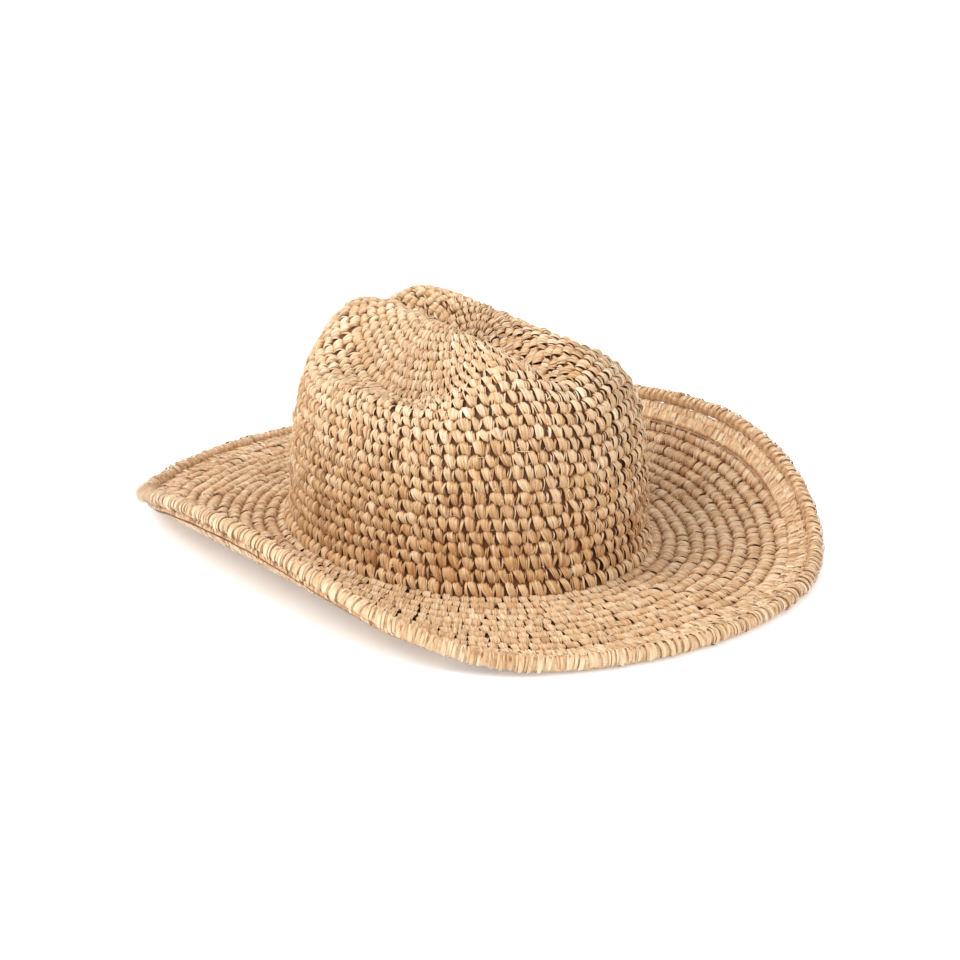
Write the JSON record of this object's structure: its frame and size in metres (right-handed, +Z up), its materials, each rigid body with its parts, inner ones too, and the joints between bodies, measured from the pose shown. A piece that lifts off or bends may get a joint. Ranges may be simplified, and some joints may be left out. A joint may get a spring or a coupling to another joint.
{
  "type": "cowboy hat",
  "caption": "Hand-crocheted raffia cowboy hat with a creased crown, side dents and a wired brim curled up at both sides, lying on its brim.",
  "frame": {"origin": "middle of the bottom of the whole hat, on the floor the brim lies on; the middle of the head opening is 5 mm nearer the front", "axes": "+Z up through the crown, -Y towards the front of the hat, +X towards the wearer's left"},
  "size_m": [0.3082, 0.3704, 0.1166],
  "materials": {
    "raffia": "crocheted natural raffia, dull with a faint sheen",
    "wire": "satin",
    "sleeve": "satin",
    "ribbon": "matt grosgrain",
    "thread": "matt",
    "label": "matt woven, blank"
  },
  "bodies": {
    "root": {"crown": "raffia", "crown_start": "raffia", "brim": "raffia", "brim_hem": "raffia", "brim_edge": "raffia", "brim_wire": "wire", "wire_sleeve": "sleeve", "sweatband": "ribbon", "sweatband_thread": "thread", "sweatband_tab": "ribbon", "size_label": "label"}
  },
  "joints": []
}
